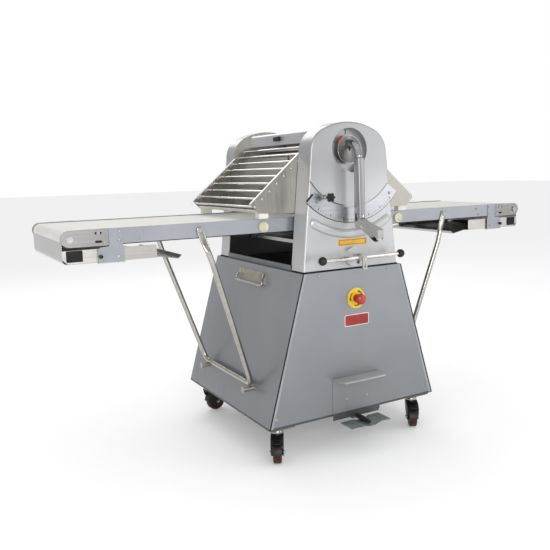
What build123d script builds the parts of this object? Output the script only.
from build123d import *
import os
from math import cos, hypot, pi, radians, sin, tan

# Reversible dough sheeter: two belt tables either side of a pair of sheeting rollers,
# on a tapered base with casters.  Millimetres, +Z up, floor at Z = 0.  X runs along
# the tables, the operator stands on the -Y side.

# ---- driving dimensions -------------------------------------------------------------
belt_width = 475.0
belt_thickness = 1.8
belt_gap = 0.3                 # belt's inner face to a roller's skin
pulley_r = 22.5                # end and drive rollers of a table
axle_z = 850.0                 # height of both rollers of a table
end_axle_x = 977.0             # centre of the outer roller
fold_axle_x = 72.0             # drive roller, which is also the table's fold axis
rail_in = 242.0                # inner face of a side rail
rail_out = 250.0
rail_bottom = 825.0
rail_top = 878.0
rail_end_x = 930.0
end_plate = 3.0

roller_r = 42.0                # sheeting rollers
roller_half = 248.0
journal_r = 15.0
low_z = 833.0                  # lower sheeting roller
rest_gap = 20.0                # nip between the sheeting rollers at rest
up_z = low_z + 2 * roller_r + rest_gap

casing_y0 = 277.0              # inner edge of a casing
casing_y1 = 363.5              # face of a casing
casing_foot = 210.0            # half-widths and heights of the casing's outline
casing_hip = 167.0
casing_hip_z = 1105.0
casing_crown = 108.0
casing_crown_z = 1195.0
casing_base_z = 685.0
casing_top_z = 1219.0
sheet = 2.5

plate_y0 = 278.0               # side plates that carry every shaft
plate_y1 = 288.0
base_top_z = 680.0
base_low_z = 137.0
base_top_half = 220.0
base_low_half = 374.0
base_y = 377.0                 # outer face of the front and rear panels
panel_sheet = 2.0

hub_z = 1119.0                 # gap lever
arm_y0 = 400.0
arm_y1 = 440.0
arm_low_z = 868.0
dial_r = 50.0
dial_y = -361.0                # face of the dial, inside its rim
crank_r = 38.1
pin_r = 6.0
carrier_x = -108.0             # pivot of the carrier and of the transfer gear
carrier_pin_x = 42.0
fit = 0.05                     # radial clearance of a running fit

guard_x = -105.0               # hinge bar of the left guard
guard_z = 1134.0
guard_rods = 9
guard_pitch = 40.4
guard_tilt = 221.0             # direction of the rods' plane, from +X
cheek_y0 = 272.0
cheek_y1 = 275.0

strut_x = -549.0               # pivot bolt of the left strut
strut_z = 851.0
strut_foot_x = -358.0
strut_foot_z = 264.0
strut_r = 10.0
strut_y = 261.0
peg_y = 200.0

bail_x = -242.0                # pivot of the left carrying handle
bail_z = 648.0
bail_drop = 40.5
bail_lean = 20.0

button_x = 6.0                 # emergency stop
button_z = 570.0
bar_z = 727.0                  # direction bar
bar_y = 420.0
bar_ends = (-163.0, 184.0)
caster_x = 312.0
caster_y = 318.0
wheel_r = 40.0
trail = 30.0
caster_turns = {"fl": 240.0, "fr": 240.0, "rl": 10.0, "rr": 200.0}
gear_module = 3.0
gear_teeth = 36
motor_z = 294.0

centre_shift = 73.0            # puts the origin under the middle of the whole machine


# ---- small helpers ------------------------------------------------------------------
def block(x0, x1, y0, y1, z0, z1):
    size = Box(abs(x1 - x0), abs(y1 - y0), abs(z1 - z0))
    return Pos((x0 + x1) / 2, (y0 + y1) / 2, (z0 + z1) / 2) * size


def rod(start, end, radius):
    axis = Vector(*end) - Vector(*start)
    return Plane(origin=start, z_dir=axis) * Cylinder(
        radius, axis.length, align=(Align.CENTER, Align.CENTER, Align.MIN))


def rod_y(x, z, radius, y0, y1):
    return rod((x, min(y0, y1), z), (x, max(y0, y1), z), radius)


def ring_y(x, z, outer, bore, y0, y1):
    return rod_y(x, z, outer, y0, y1) - rod_y(x, z, bore, y0 - 1, y1 + 1)


def extrude_y(profile, y0, y1):
    """Extrude a sketch drawn in X and Z from y0 to y1."""
    back = max(y0, y1)
    plane = Plane(origin=(0, back, 0), x_dir=(1, 0, 0), z_dir=(0, -1, 0))
    return extrude(plane * profile, amount=abs(y1 - y0))


def extrude_x(profile, x0, x1):
    """Extrude a sketch drawn in Y and Z from x0 to x1."""
    plane = Plane(origin=(min(x0, x1), 0, 0), x_dir=(0, 1, 0), z_dir=(1, 0, 0))
    return extrude(plane * profile, amount=abs(x1 - x0))


def outline(*points):
    return make_face(Polyline(*points, close=True))


def disc(x, z, radius):
    return Pos(x, z) * Circle(radius)


def hull(*circles):
    edges = []
    for circle in circles:
        edges.extend(circle.edges())
    return make_hull(edges)


def sector(radius0, radius1, angle0, angle1):
    """Part of a ring about the hub; angles from straight down, positive to +X."""
    def at(radius, angle):
        return (radius * sin(radians(angle)), hub_z - radius * cos(radians(angle)))
    middle = (angle0 + angle1) / 2
    outer = ThreePointArc(at(radius1, angle0), at(radius1, middle), at(radius1, angle1))
    inner = ThreePointArc(at(radius0, angle1), at(radius0, middle), at(radius0, angle0))
    ends = [Line(at(radius1, angle1), at(radius0, angle1)),
            Line(at(radius0, angle0), at(radius1, angle0))]
    return make_face(outer + ends[0] + inner + ends[1])


def gear_outline(teeth, module, turn=0.0, backlash=0.5):
    """Straight-flanked teeth, thinned for backlash."""
    pitch_r = teeth * module / 2
    flank = tan(radians(20))
    half = (pi * module / 2 - backlash) / 2
    tip = half - module * flank
    root = half + 1.25 * module * flank
    points = []
    for tooth in range(teeth):
        middle = radians(360 * tooth / teeth + turn)
        for radius, side in ((pitch_r - 1.25 * module, -root), (pitch_r + module, -tip),
                             (pitch_r + module, tip), (pitch_r - 1.25 * module, root)):
            angle = middle + side / radius
            points.append((radius * cos(angle), radius * sin(angle)))
    return outline(*points)


def both_ends(shape):
    """The shape and its mirror image on the other side, front to back."""
    return [shape, mirror(shape, Plane.XZ)]


def at_right(shapes):
    return [mirror(shape, Plane.YZ) for shape in shapes]


def save(name, shapes):
    solids = []
    for shape in shapes:
        solids.extend(shape.solids())
    moved = [Pos(0, centre_shift, 0) * solid for solid in solids]
    export_step(Compound(children=moved), f"parts/{name}.step")


def panel_half(z):
    """Half-width of the tapered base at height z."""
    slope = (base_low_half - base_top_half) / (base_top_z - base_low_z)
    return base_top_half + (base_top_z - z) * slope


def side_panel_plane(z):
    """On the left panel's outer face: local X is +Y, local Y runs down the slope."""
    slope = (base_low_half - base_top_half) / (base_top_z - base_low_z)
    return Plane(origin=(-panel_half(z), 0, z), x_dir=(0, 1, 0), z_dir=(-1, 0, slope))


def screw_y(x, z, y, radius, depth):
    """Pan head of a screw that faces the operator; y is the face it sits on."""
    head = rod_y(x, z, radius, y, y - depth)
    slot = block(x - radius, x + radius, y - depth - 1, y - 0.6 * depth, z - 0.5, z + 0.5)
    return head - slot


# ---- base ---------------------------------------------------------------------------
def box_tube_x(x0, x1, y0, z0, size=30.0, wall=2.5):
    outer = block(x0, x1, y0, y0 + size, z0, z0 + size)
    return outer - block(x0 - 1, x1 + 1, y0 + wall, y0 + size - wall, z0 + wall, z0 + size - wall)


def box_tube_y(x0, y0, y1, z0, size=30.0, wall=2.5):
    outer = block(x0, x0 + size, y0, y1, z0, z0 + size)
    return outer - block(x0 + wall, x0 + size - wall, y0 - 1, y1 + 1, z0 + wall, z0 + size - wall)


def corner_leg(x_sign, y0):
    low = panel_half(164) - 4
    high = panel_half(650) - 4
    leg = outline((x_sign * low, 164), (x_sign * (low - 30), 164),
                  (x_sign * (high - 30), 650), (x_sign * high, 650))
    return extrude_y(leg, y0, y0 + 30)


def caster_mount(x, y):
    plate = block(x - 48, x + 48, y - 44, y + 50, 128, 134)
    if y < 0:
        plate = block(x - 48, x + 48, y - 50, y + 44, 128, 134)
    socket = Pos(x, y, 123) * Cylinder(24, 10)
    bore = Pos(x, y, 123) * Cylinder(pin_r + fit, 10)
    return plate + socket - bore


def base_frame():
    parts = []
    for z0, half_x in ((134, 360), (650, 214)):
        for y0 in (-372, 342):
            parts.append(box_tube_x(-half_x, half_x, y0, z0))
        for x0 in (-half_x, half_x - 30):
            parts.append(box_tube_y(x0, -342, 342, z0))
    for y0 in (-372, 342):
        for x_sign in (-1, 1):
            parts.append(corner_leg(x_sign, y0))
    for x0 in (-80, 50):
        parts.append(box_tube_y(x0, -372, 372, 164))
    for x_sign in (-1, 1):
        for y_sign in (-1, 1):
            parts.append(caster_mount(x_sign * caster_x, y_sign * caster_y))
    return parts


def base_end_panel():
    face = outline((-base_low_half, base_low_z), (base_low_half, base_low_z),
                   (base_top_half, base_top_z), (-base_top_half, base_top_z))
    return extrude_y(fillet(face.vertices(), 4), -base_y, -base_y + panel_sheet)


def front_panel():
    button_hole = rod_y(button_x, button_z, 8.5, -base_y - 1, -base_y + panel_sheet + 1)
    return [base_end_panel() - button_hole]


inlet_x = 180.0
inlet_z = 205.0


def rear_panel():
    panel = mirror(base_end_panel(), Plane.XZ)
    return [panel - rod_y(inlet_x, inlet_z, 10 + fit, base_y - 5, base_y + 5)]


def left_panel():
    y_half = base_y - panel_sheet - 0.2
    skin = panel_sheet * 1.04
    face = outline((-base_top_half, base_top_z), (-base_low_half, base_low_z),
                   (-base_low_half + skin, base_low_z), (-base_top_half + skin, base_top_z))
    return [extrude_y(face, -y_half, y_half)]


def cable_gland():
    flange = rod_y(inlet_x, inlet_z, 15, base_y, base_y + 6)
    nose = rod_y(inlet_x, inlet_z, 11, base_y + 6, base_y + 22)
    neck = rod_y(inlet_x, inlet_z, 10, base_y - 14, base_y)
    return [flange + nose + neck - rod_y(inlet_x, inlet_z, 6, base_y - 15, base_y + 23)]


def deck_tray():
    """Dark sheet between the casings, and the seals the casings stand on."""
    half_x = base_top_half - 8
    low = base_top_z + 0.2
    floor = block(-half_x, half_x, -casing_y0 + 0.5, casing_y0 - 0.5, low, low + 2)
    rims = [block(s * (half_x - 2), s * half_x, -casing_y0 + 0.5, casing_y0 - 0.5, low, low + 22)
            for s in (-1, 1)]
    tray = floor + rims
    high = casing_base_z - 0.2
    outer = block(-casing_foot - 1, casing_foot + 1, -casing_y1 - 1, -plate_y1 - 0.5, low, high)
    inner = block(-casing_foot + 7, casing_foot - 7, -casing_y1 + 7, -plate_y1 + 5, low - 1, high + 1)
    return [tray] + both_ends(outer - inner)


# ---- casings and side plates --------------------------------------------------------
def casing_outline(wall=0.0, base_z=casing_base_z):
    """Tall flared outline with rounded shoulders and a shallow crown."""
    foot = casing_foot - wall
    hip = (casing_hip - wall, casing_hip_z)
    shoulder = (149.0 - 0.85 * wall, 1163.0 - 0.5 * wall)
    crown = (casing_crown - 0.3 * wall, casing_crown_z - wall)
    right = Polyline((foot, base_z), hip) + ThreePointArc(hip, shoulder, crown)
    left = mirror(right, Plane.YZ)
    top = ThreePointArc(crown, (0, casing_top_z - wall), (-crown[0], crown[1]))
    return make_face(right + top + left + Line((-foot, base_z), (foot, base_z)))


def casing_shell(edge_radius):
    solid = extrude_y(casing_outline(), -casing_y1, -casing_y0)
    face = solid.faces().sort_by(Axis.Y)[0]
    rim = [edge for edge in face.edges() if edge.center().Z > casing_base_z + 1]
    solid = fillet(rim, edge_radius)
    hollow = extrude_y(casing_outline(sheet, casing_base_z - 1), -casing_y1 + sheet, -casing_y0 + 1)
    return solid - hollow


recess_depth = 28.0


def hub_recess(grow=0.0):
    """Teardrop pocket that the lever's dial sits in."""
    return hull(disc(0, hub_z + 2, 76 + grow), disc(12, hub_z - 66, 18 + grow))


def front_casing():
    shell = casing_shell(7)
    back = -casing_y1 + recess_depth
    cup = extrude_y(hub_recess(sheet), -casing_y1 + 0.5, back + sheet)
    shell = shell + cup - extrude_y(hub_recess(), -casing_y1 - 1, back)
    shell = shell - rod_y(0, hub_z, 10.5, -casing_y1, -casing_y0)
    shell = shell - extrude_y(sector(200.2, 208.8, -57, -8), -casing_y1 - 1, -casing_y1 + sheet + 1)
    rib = extrude_y(sector(292.5, 323.5, -33, 33), -casing_y1 - 9, -casing_y1 + 0.5)
    rib = fillet(rib.faces().sort_by(Axis.Y)[0].edges(), 8)
    boss = rod_y(0, bar_z, 36, -casing_y1 - 18, -casing_y1 + 0.5)
    shell = shell + rib + boss
    return [shell - rod_y(0, bar_z, 8 + fit, -casing_y1 - 20, -casing_y1 + 5)]


def rear_casing():
    return [mirror(casing_shell(7), Plane.XZ)]


def side_plate():
    """Front plate: bearings for the rollers, the lever shaft, the fold axes and the guards."""
    plate = extrude_y(casing_outline(sheet + 0.6, base_top_z + 0.3), -plate_y1, -plate_y0)
    window = extrude_y(SlotCenterToCenter(42, 38, rotation=90), -plate_y1 - 1, -plate_y0 + 1)
    plate = plate - Pos(1, 0, up_z) * window
    plate = plate - rod_y(0, low_z, journal_r + fit, -plate_y1 - 1, -plate_y0 + 1)
    plate = plate - rod_y(0, hub_z, 12 + fit, -plate_y1 - 1, -plate_y0 + 1)
    for x_sign in (-1, 1):
        sleeve = rod_y(x_sign * fold_axle_x, axle_z, 14, -plate_y1, -rail_in + 2)
        plate = plate + sleeve - rod_y(x_sign * fold_axle_x, axle_z, 9 + fit, -plate_y1 - 1, -rail_in + 3)
        plate = plate - rod_y(x_sign * guard_x, guard_z, 5 + fit, -plate_y1 - 1, -plate_y0 + 1)
    ledge = block(-100, 100, -plate_y0, -254, 760, 763.8)
    stub = rod_y(carrier_x, up_z, 12, -plate_y1 - 12, -plate_y1)
    return plate + ledge + stub


def side_plates():
    front, rear = both_ends(side_plate())
    gear_stub = rod_y(carrier_x, up_z, 9, plate_y1 + 12, 345)
    return [front, rear + gear_stub]


def bridge_cover():
    half_y = casing_y0 + 0.5
    top = RectangleRounded(182, 60, 14)
    cover = extrude_y(Pos(0, 1169) * top, -half_y, half_y)
    cover = cover - extrude_y(Pos(0, 1168) * RectangleRounded(177, 57, 12), -half_y - 1, half_y + 1)
    return [cover - block(-100, 100, -half_y - 1, half_y + 1, 1100, 1151)]


def guard_switch():
    body = block(-105, -91, -8, 32, 1166, 1184)
    return [fillet(body.edges().filter_by(Axis.Y), 3)]


def quadrant_plate():
    band = extrude_y(sector(210, 265, -45.5, 52.8), -casing_y1 - 3, -casing_y1)
    holes = []
    for angle in (-38.8, 46.7):
        x = 240 * sin(radians(angle))
        z = hub_z - 240 * cos(radians(angle))
        holes.append(rod_y(x, z, 3, -casing_y1 - 4, -casing_y1 + 1))
    return [band - holes]


pedal_z = 118.0


def kick_shield():
    y0 = -base_y
    plate = outline((-107, 117), (101, 117), (107, 128), (107, 277), (-107, 277))
    wall = extrude_y(plate, y0 - 2, y0)
    top = Plane(origin=(0, 0, 275)) * make_face(Polyline(
        (-107, y0), (-107, y0 - 44), (-93, y0 - 66), (93, y0 - 66), (107, y0 - 44), (107, y0), close=True))
    notch = block(-14, 14, y0 - 3, y0 + 1, 116, pedal_z + 13)
    return [wall + extrude(top, amount=2) - notch]


def badge_plates():
    red = block(-47, 63, -base_y - 1.5, -base_y, 466, 510)
    amber = block(-59, 67, -casing_y1 - 1, -casing_y1, 768, 792)
    return [fillet(red.edges().filter_by(Axis.Y), 4), amber]


def estop_base():
    ring = rod_y(button_x, button_z, 39, -base_y - 3, -base_y)
    collar = rod_y(button_x, button_z, 15, -base_y - 8, -base_y - 3)
    return [ring + collar - rod_y(button_x, button_z, 8 + fit, -base_y - 9, -base_y + 1)]


def estop_button():
    head = rod_y(button_x, button_z, 19, -base_y - 28, -base_y - 13)
    head = fillet(head.edges().sort_by(Axis.Y)[0], 6)
    return [head + rod_y(button_x, button_z, 8, -base_y - 13, -base_y + 10)]


def panel_fittings():
    """Handle back-plates with ears, and the pegs the struts rest on."""
    plane = side_panel_plane(632)
    plate = Pos(0, 0, 1.5) * Box(224, 48, 3)
    parts = [plane * fillet(plate.edges().filter_by(Axis.Z), 5)]
    foot = Vector(bail_x, 0, bail_z) - plane.origin
    down = foot.dot(plane.y_dir)
    out = foot.dot(plane.z_dir)
    for y_sign in (-1, 1):
        ear = Pos(y_sign * 89, down, 3 + (out + 4) / 2) * Box(10, 18, out + 4)
        bore = Pos(y_sign * 89, down, out) * Rot(0, 90, 0) * Cylinder(4 + fit, 12)
        parts.append(plane * (ear - bore))
        peg_z = strut_foot_z - strut_r - 9.4
        start = (-panel_half(peg_z) + 6, y_sign * peg_y, peg_z)
        middle = (-386, y_sign * peg_y, peg_z)
        inside = side_panel_plane(peg_z) * (Pos(y_sign * peg_y, 0, -20) * Box(40, 80, 40))
        collar = rod(middle, (-389, y_sign * peg_y, peg_z), 12)
        parts.append(rod(start, middle, 9) - inside + collar)
    return parts + at_right(parts)


def casing_screws():
    screws = []
    for x, z in ((-155, 668), (155, 668), (-345, 174), (345, 174)):
        screws.append(screw_y(x, z, -base_y, 5.5, 3))
        screws.append(mirror(screw_y(x, z, -base_y, 5.5, 3), Plane.XZ))
    for x in (-45, 45):
        screws.append(screw_y(x, 191, -base_y - 2, 6, 3.5))
    for angle in (-38.8, 46.7):
        x = 240 * sin(radians(angle))
        z = hub_z - 240 * cos(radians(angle))
        screws.append(screw_y(x, z, -casing_y1 - 3, 5.5, 3))
    return screws


def control_box():
    box = block(-110, 110, -372, -250, 420, 540)
    return [fillet(box.edges().filter_by(Axis.Y), 6)]


def gearmotor():
    body = rod_y(0, motor_z, 72, 20, 290)
    gearbox = block(-82, 82, 190, 280, motor_z - 82, motor_z + 82)
    foot = block(-90, 90, 40, 270, 194, motor_z - 60)
    terminal = block(-55, 55, 60, 150, motor_z + 60, motor_z + 100)
    motor = body + gearbox + foot + terminal
    return [motor - rod_y(0, motor_z, 12, 284, 291)]


def flour_tray():
    """Pan under the rollers, and the blade that wipes the underside of the lower one."""
    outer = block(-105, 105, -262, 262, 764, 778)
    pan = outer - block(-103.5, 103.5, -260.5, 260.5, 765.5, 779)
    angle = radians(-70)
    reach = (0.94, -0.34)
    x0 = (roller_r + 0.6) * cos(angle)
    z0 = low_z + (roller_r + 0.6) * sin(angle)
    x1 = x0 + 34 * reach[0]
    z1 = z0 + 34 * reach[1]
    blade = outline((x0, z0), (x1, z1), (x1 - 0.7, z1 - 1.9), (x0 - 0.7, z0 - 1.9))
    return [pan, extrude_y(blade, -plate_y0 + 0.2, plate_y0 - 0.2)]


def loop_band(circles, inner_gap, thickness, y0, y1):
    """Closed band round circles given as (x, z, radius)."""
    outer = hull(*[disc(x, z, r + inner_gap + thickness) for x, z, r in circles])
    inner = hull(*[disc(x, z, r + inner_gap) for x, z, r in circles])
    return extrude_y(outer, y0, y1) - extrude_y(inner, y0 - 1, y1 + 1)


chain_y = (331.0, 339.0)
sprocket_teeth = 18
sprocket_module = 4.0
sprocket_tip = sprocket_teeth * sprocket_module / 2 + sprocket_module
loop_y = {-1: (-308.0, -300.0), 1: (-322.0, -314.0)}
loop_low_r = 30.0
loop_table_r = 17.5


def drive_loops():
    """Chain from the motor, and the two toothed belts that turn the tables' rollers."""
    chain = loop_band([(0, motor_z, sprocket_tip), (0, low_z, sprocket_tip),
                       (carrier_x, up_z, sprocket_tip)], 0.8, 6, *chain_y)
    parts = [chain]
    for x_sign in (-1, 1):
        parts.append(loop_band([(0, low_z, loop_low_r), (x_sign * fold_axle_x, axle_z, loop_table_r)],
                               0.4, 3, *loop_y[x_sign]))
    return parts


def sprocket(x, z):
    return Pos(x, 0, z) * extrude_y(gear_outline(sprocket_teeth, sprocket_module), *chain_y)


# ---- rollers and their drive --------------------------------------------------------
def drive_sprocket():
    return [sprocket(0, motor_z) + rod_y(0, motor_z, 12 - fit, 285, 345)]


def lower_roller():
    skin = rod_y(0, low_z, roller_r, -roller_half, roller_half)
    skin = chamfer(skin.edges(), 1)
    shaft = rod_y(0, low_z, journal_r, -292, 300) + rod_y(0, low_z, 12, -326, 345)
    pulleys = [rod_y(0, low_z, loop_low_r, *loop_y[x_sign]) for x_sign in (-1, 1)]
    return [skin + shaft + pulleys + sprocket(0, low_z)]


gear_y = (315.0, 325.0)


def upper_roller():
    skin = rod_y(0, up_z, roller_r, -roller_half, roller_half)
    skin = chamfer(skin.edges(), 1)
    shaft = rod_y(0, up_z, journal_r, -300, 300) + rod_y(0, up_z, 12, 300, 328)
    gear = Pos(0, 0, up_z) * extrude_y(gear_outline(gear_teeth, gear_module), *gear_y)
    return [skin + shaft + gear]


def transfer_gear():
    half_tooth = 180 / gear_teeth
    gear = Pos(carrier_x, 0, up_z) * extrude_y(gear_outline(gear_teeth, gear_module, half_tooth), *gear_y)
    hub = rod_y(carrier_x, up_z, 17, 313, 341)
    return [gear + hub + sprocket(carrier_x, up_z) - rod_y(carrier_x, up_z, 9 + fit, 312, 346)]


def roller_carrier():
    """Rocking arms that hold the upper roller's ends and the pins for the lift rods."""
    arm = hull(disc(carrier_x, up_z, 20), disc(0, up_z, 26))
    arm = arm + hull(disc(0, up_z, 20), disc(carrier_pin_x, up_z, 13))
    arm = extrude_y(arm, -299, -291)
    arm = arm - rod_y(carrier_x, up_z, 12 + fit, -300, -290)
    arm = arm - rod_y(0, up_z, journal_r + fit, -300, -290)
    arm = arm + rod_y(carrier_pin_x, up_z, pin_r, -312, -299)
    return both_ends(arm)


# ---- gap lever ----------------------------------------------------------------------
def lever_shaft():
    shaft = rod_y(0, hub_z, 12, -299, 299)
    crank = extrude_y(hull(disc(0, hub_z, 18), disc(crank_r, hub_z, 11)), -299, -291)
    crank = crank + rod_y(crank_r, hub_z, pin_r, -312, -299)
    front, rear = both_ends(crank)
    return [shaft + front + rear + rod_y(0, hub_z, 10, -337, -299)]


def lift_rods():
    """Rods from the cranks to the carrier's pins; each lower eye is a slot."""
    side = 10.0
    bar = Pos(crank_r, (hub_z + up_z) / 2) * Rectangle(2 * side, hub_z - up_z)
    eye = disc(crank_r, hub_z, 11)
    slot_x0 = carrier_pin_x - pin_r - 0.8
    slot_x1 = carrier_pin_x + pin_r + 10.2
    middle = (slot_x0 + slot_x1) / 2
    slot = Pos(middle, up_z) * Rectangle(slot_x1 - slot_x0, 2 * (pin_r + 1.8))
    foot = Pos(middle, up_z) * RectangleRounded(slot_x1 - slot_x0 + 14, 32, 5)
    rods = extrude_y(bar + eye + foot - slot, -310, -302)
    rods = rods - rod_y(crank_r, hub_z, pin_r + fit, -311, -301)
    return both_ends(rods)


def lever_hub():
    back = -casing_y1 + recess_depth
    dial = rod_y(0, hub_z, dial_r, dial_y, back - 1.5)
    dial = chamfer(dial.edges().sort_by(Axis.Y)[0], 1)
    ring = ring_y(0, hub_z, dial_r - 1, dial_r - 4, dial_y - 1.5, dial_y)
    return [dial, ring]


def lever_arm():
    path = Spline((0, dial_y - 0.1, hub_z + 18), (0, -400, hub_z + 6), (0, -420, hub_z - 36),
                  tangents=((0, -1, 0), (0, 0, -1)))
    neck = sweep(Plane(origin=path @ 0, z_dir=path % 0) * Circle(13), path=path)
    body = extrude_x(outline((-arm_y1 + 2, arm_low_z), (-arm_y0, arm_low_z), (-arm_y0 - 2, hub_z - 34),
                             (-arm_y1 + 4, hub_z - 34)), -13, 13)
    body = fillet(body.edges().filter_by(Axis.Z, tolerance=6), 5)
    grip = outline((-arm_y1 + 6, 872), (-arm_y1 + 6, 856), (-520, 832), (-534, 826), (-536, 802),
                   (-545, 802), (-545, 838), (-530, 846), (-arm_y1 + 2, 872))
    grip = extrude_x(grip, -12, 12)
    lugs = outline((-arm_y0 - 4, arm_low_z + 2), (-arm_y0 - 6, 838), (-452, 830), (-454, 862))
    lugs = extrude_x(lugs, -13, 13)
    lugs = lugs - block(-9.7, 9.7, -470, -390, 820, arm_low_z - 3)
    lugs = lugs + rod((-13, -446, 840), (13, -446, 840), 4)
    pointer = block(-15.5, -13, -420, -414, arm_low_z + 2, arm_low_z + 20)
    return [body + grip + lugs + neck, pointer]


def lever_trigger():
    paddle = outline((-438, 846), (-438, 833), (-508, 786), (-515, 790), (-514, 798), (-456, 842))
    paddle = extrude_x(fillet(paddle.vertices(), 1.5), -9.2, 9.2)
    eye = rod((-9.2, -446, 840), (9.2, -446, 840), 7.5)
    return [paddle + eye - rod((-10, -446, 840), (10, -446, 840), 4 + fit)]


knob_angle = 33.8


def stop_knob():
    """Star knob clamped in the arc slot, with its plate behind the casing's face."""
    x = -204.5 * sin(radians(knob_angle))
    z = hub_z - 204.5 * cos(radians(knob_angle))
    stem = rod_y(x, z, 4, -386, -358)
    washer = rod_y(x, z, 10, -360.5, -357)
    star = disc(x, z, 10)
    for lobe in range(6):
        angle = radians(60 * lobe)
        star = star + disc(x + 10 * cos(angle), z + 10 * sin(angle), 4)
    return [stem + washer + extrude_y(star, -397, -384)]


# ---- operator's controls ------------------------------------------------------------
def direction_bar():
    shaft = rod_y(0, bar_z, 8, -bar_y - 8, -350)
    hub = rod_y(0, bar_z, 14, -bar_y - 10, -bar_y + 10)
    bar = rod((bar_ends[0], -bar_y, bar_z), (bar_ends[1], -bar_y, bar_z), 5)
    balls = [Pos(x, -bar_y, bar_z) * Rot(0, 0, 90) * Sphere(16) for x in bar_ends]
    link = block(1, 20, -bar_y - 14, -bar_y - 8, 683, bar_z + 4)
    collar = rod_y(0, bar_z, 14, -356, -350)
    return [shaft + hub + bar + balls + link + collar]


def pedal_bracket():
    bearing = block(-15, 15, -372, -340, 106, 134)
    return bearing - rod_y(0, pedal_z, 7 + fit, -373, -339)


def foot_pedal():
    profile = outline((-88, 110), (-34, 110), (-10, 104), (12, 104), (40, 113), (86, 113),
                      (86, 117), (38, 117), (12, 109), (-10, 109), (-34, 114), (-88, 114))
    plate = extrude_y(profile, -478, -396)
    plate = plate - block(-100, -88 + 6, -490, -466, 90, 130)
    hub = rod_y(0, pedal_z, 10, -420, -386)
    return [plate + hub + rod_y(0, pedal_z, 7, -460, -336)]


# ---- carrying handles ---------------------------------------------------------------
def bail_handle():
    lean = radians(bail_lean)
    plane = Plane(origin=(bail_x, 0, bail_z), x_dir=(0, 1, 0), z_dir=(-cos(lean), 0, sin(lean)))
    path = FilletPolyline((-104, -2), (-107, 12), (-122, bail_drop), (122, bail_drop), (107, 12), (104, -2),
                          radius=9)
    start = Plane(origin=path @ 0, z_dir=path % 0)
    loop = plane * sweep(start * Circle(5), path=path)
    pins = [rod((bail_x, s * 82, bail_z), (bail_x, s * 103, bail_z), 4) for s in (-1, 1)]
    return [loop + pins]


# ---- casters ------------------------------------------------------------------------
def caster_frame(key):
    x_sign = -1 if key[1] == "l" else 1
    y_sign = -1 if key[0] == "f" else 1
    return Pos(x_sign * caster_x, y_sign * caster_y, 0) * Rot(0, 0, caster_turns[key])


def caster_fork(key):
    crown = Pos(0, 0, 110) * Cylinder(23, 14.6)
    kingpin = Pos(0, 0, 122) * Cylinder(pin_r, 11)
    hood = block(-20, trail + 26, -23, 23, 97, 104)
    cheeks = []
    for y_sign in (-1, 1):
        side = outline((-20, 104), (trail + 26, 104), (trail + 30, 60), (trail + 10, 30),
                       (trail - 12, 30), (-14, 76))
        cheeks.append(extrude_y(side, y_sign * 19, y_sign * 23))
    axle = rod_y(trail, wheel_r, 5, -26, 26)
    fork = crown + kingpin + hood + cheeks + axle
    if key[0] == "f":
        brake = block(trail + 24, trail + 46, -16, 16, 84, 88)
        fork = fork + brake + block(trail + 24, trail + 32, -16, 16, 84, 100)
    return [caster_frame(key) * fork]


def caster_wheel(key):
    tread = rod_y(trail, wheel_r, wheel_r, -15, 15)
    tread = fillet(tread.edges(), 5)
    wheel = tread + rod_y(trail, wheel_r, 12, -18, 18)
    return [caster_frame(key) * (wheel - rod_y(trail, wheel_r, 5 + fit, -19, 19))]


# ---- left table (the right one is its mirror image) ---------------------------------
def table_rail():
    """Front rail with its round inner end about the fold axis."""
    bar = outline((-fold_axle_x, axle_z + 20), (-112, rail_top), (-rail_end_x, rail_top),
                  (-rail_end_x, rail_bottom), (-112, rail_bottom), (-fold_axle_x, axle_z - 20))
    rail = extrude_y(bar + disc(-fold_axle_x, axle_z, 20), -rail_out, -rail_in)
    return rail - rod_y(-fold_axle_x, axle_z, 14 + fit, -rail_out - 1, -rail_in + 1)


def table_end_plate():
    """Stainless plate that holds the end roller; its slots let the belt be tightened."""
    height = rail_top + 1 - rail_bottom + 1
    plate = disc(-end_axle_x, axle_z + 1, 26.5)
    plate = plate + Pos(-917, (rail_top + rail_bottom) / 2) * Rectangle(120, height)
    plate = plate - disc(-end_axle_x, axle_z, 8 + fit)
    for z in (865, 838):
        plate = plate - Pos(-888, z) * SlotOverall(24, 7)
    return extrude_y(plate, -rail_out - end_plate, -rail_out)


def tray_hanger():
    strap = outline((-856.5, rail_top), (-812, rail_top), (-812, 822), (-808, 815), (-808, 767),
                    (-893, 767), (-893, 812), (-885, 819), (-856.5, 822))
    hanger = extrude_y(strap, -rail_out - 3, -rail_out)
    return hanger + block(-893, -808, -rail_out - 3, -236, 767, 770)


def table_frame():
    rail = table_rail()
    bed = block(-935, -112, -rail_in, rail_in, axle_z + 16, axle_z + 20)
    parts = both_ends(rail) + [bed]
    for x in (-300, -700):
        parts.append(rod_y(x, axle_z, 9, -rail_in, rail_in))
    parts += both_ends(table_end_plate()) + both_ends(tray_hanger())
    parts += both_ends(rod_y(-306, 848, 19, -rail_out - 8, -rail_out))
    bolt = rod_y(strut_x, strut_z, pin_r, -rail_out - 8, -rail_out)
    parts += both_ends(bolt + rod_y(strut_x, strut_z, 11, -263, -258))
    for x, z in ((-870, 865), (-870, 838)):
        parts += both_ends(screw_y(x, z, -rail_out - end_plate, 7, 4))
    for x, z in ((-820, 867), (-822, 838), (-826, 786)):
        parts += both_ends(screw_y(x, z, -rail_out - 3, 5, 3))
    parts += both_ends(rod_y(-885, 790, 6, -rail_out - 10, -rail_out - 3))
    return parts


def belt():
    centres = [(-end_axle_x, axle_z, pulley_r), (-fold_axle_x, axle_z, pulley_r)]
    return [loop_band(centres, belt_gap, belt_thickness, -belt_width / 2, belt_width / 2)]


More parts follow.
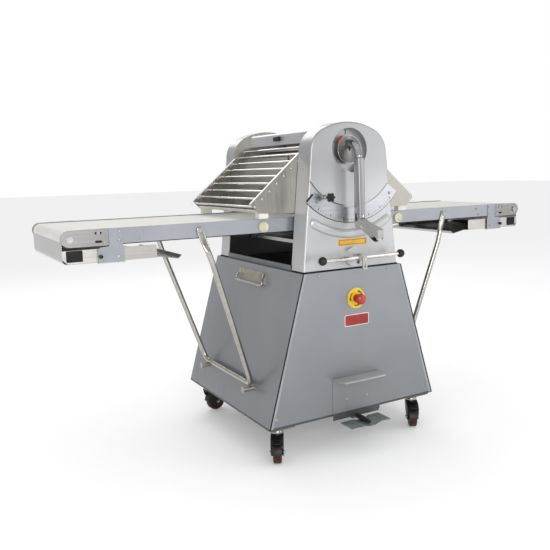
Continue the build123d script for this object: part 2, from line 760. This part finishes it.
def end_roller():
    roller = rod_y(-end_axle_x, axle_z, pulley_r, -belt_width / 2, belt_width / 2)
    axle = rod_y(-end_axle_x, axle_z, 8, -rail_out - 4, rail_out + 4)
    caps = [rod_y(-end_axle_x, axle_z, 11, s * (rail_out + 4), s * (rail_out + 8)) for s in (-1, 1)]
    return [roller + axle + caps]


def drive_roller(x_sign):
    x = x_sign * fold_axle_x
    roller = rod_y(x, axle_z, pulley_r, -belt_width / 2, belt_width / 2)
    shaft = rod_y(x, axle_z, 9, loop_y[x_sign][0] - 2, 284)
    return [roller + shaft + rod_y(x, axle_z, loop_table_r, *loop_y[x_sign])]


def catch_tray():
    """Sheet trough under the table's outer end; it slides outwards on the hangers."""
    wall = 1.5
    middle = FilletPolyline((-1016, 843), (-1016, 772), (-700, 772), radius=14)
    trough = extrude_y(trace(middle, wall), -246, 246)
    lip = FilletPolyline((-700.5, 772), (-688, 772), (-622, 760), (-610, 772), radius=5)
    trough = trough + extrude_y(trace(lip, wall), -233, 233)
    side = outline((-1016.5, 815), (-1016.5, 790), (-1002, 771.5), (-700, 771.5), (-700, 815))
    for y_sign in (-1, 1):
        trough = trough + extrude_y(side, y_sign * (246 - wall), y_sign * 246)
    return [trough]


def strut():
    """U-shaped tube whose flattened ends pivot on the rails and whose foot lies on the pegs."""
    run = hypot(strut_foot_x - strut_x, strut_foot_z - strut_z)
    along = (strut_foot_x - strut_x, 0, strut_foot_z - strut_z)
    plane = Plane(origin=(strut_x, 0, strut_z), x_dir=along, z_dir=(-along[2], 0, along[0]))
    path = FilletPolyline((86, -strut_y), (125, -strut_y), (run, -216), (run, 216),
                          (125, strut_y), (86, strut_y), radius=36)
    start = Plane(origin=path @ 0, z_dir=path % 0)
    tube = sweep(start * Circle(strut_r), path=path)
    ends = []
    for y_sign in (-1, 1):
        strap = Plane.XZ * hull(disc(0, 0, 13), disc(80, 0, 11))
        strap = extrude(strap, amount=3, both=True)
        strap = Pos(0, y_sign * 254.2, 0) * strap
        joint = Pos(90, y_sign * 256.5, 0) * Box(24, 10, 18)
        ends.append(strap + joint - Pos(0, y_sign * 254.2, 0) * Rot(90, 0, 0) * Cylinder(pin_r + fit, 20))
    return [plane * (tube + ends[0] + ends[1])]


def guard_point(along, out=0.0):
    tilt = radians(guard_tilt)
    x = guard_x + along * cos(tilt) + out * cos(tilt - pi / 2)
    z = guard_z + along * sin(tilt) + out * sin(tilt - pi / 2)
    return (x, z)


def guard():
    """Cheeks, bars and nylon feet; the top bar is the hinge."""
    reach = (guard_rods - 1) * guard_pitch
    cheek = outline(guard_point(-4, 13), guard_point(60, 19), guard_point(reach + 8, 19),
                    guard_point(reach + 4, -28), (-184, 892), guard_point(8, -13))
    cheek = fillet(cheek.vertices().sort_by(Axis.X)[:3], 10) + disc(guard_x, guard_z, 13)
    parts = both_ends(extrude_y(cheek, -cheek_y1, -cheek_y0))
    for index in range(1, guard_rods):
        x, z = guard_point(index * guard_pitch)
        parts.append(rod_y(x, z, 4, -cheek_y0, cheek_y0))
    parts.append(rod_y(guard_x, guard_z, 5, -cheek_y0, cheek_y0))
    parts += both_ends(rod_y(guard_x, guard_z, 5, -284, -cheek_y1))
    strip = outline(guard_point(reach + 1, -14), guard_point(reach + 3.5, -14),
                    guard_point(reach + 3.5, -27), guard_point(reach + 1, -27))
    parts.append(extrude_y(strip, -cheek_y0, cheek_y0))
    foot = block(-333, -294, -cheek_y0, -rail_in, rail_top + 0.4, 900)
    parts += both_ends(fillet(foot.edges().filter_by(Axis.Y), 3))
    return parts


# ---- write every node ---------------------------------------------------------------
def table_nodes(side, x_sign):
    def placed(parts):
        return parts if x_sign < 0 else at_right(parts)
    save(f"{side}_table_frame", placed(table_frame()))
    save(f"{side}_belt", placed(belt()))
    save(f"{side}_end_roller", placed(end_roller()))
    save(f"{side}_drive_roller", drive_roller(x_sign))
    save(f"{side}_catch_tray", placed(catch_tray()))
    save(f"{side}_strut", placed(strut()))
    save(f"{side}_guard", placed(guard()))
    save(f"{side}_bail_handle", placed(bail_handle()))
    save(f"{side}_panel", placed(left_panel()))


def fixed_nodes():
    save("base_frame", base_frame() + [pedal_bracket()])
    for make in (front_panel, rear_panel, cable_gland, deck_tray, front_casing, rear_casing, side_plates,
                 bridge_cover, guard_switch, quadrant_plate, kick_shield, badge_plates, estop_base,
                 panel_fittings, casing_screws, control_box, gearmotor, flour_tray, drive_loops):
        save(make.__name__, make())


def moving_nodes():
    for make in (estop_button, drive_sprocket, lower_roller, upper_roller, transfer_gear, roller_carrier,
                 lever_shaft, lift_rods, lever_hub, lever_arm, lever_trigger, stop_knob, direction_bar,
                 foot_pedal):
        save(make.__name__, make())
    for key in caster_turns:
        save(f"caster_fork_{key}", caster_fork(key))
        save(f"caster_wheel_{key}", caster_wheel(key))


os.makedirs("parts", exist_ok=True)
fixed_nodes()
moving_nodes()
table_nodes("left", -1)
table_nodes("right", 1)
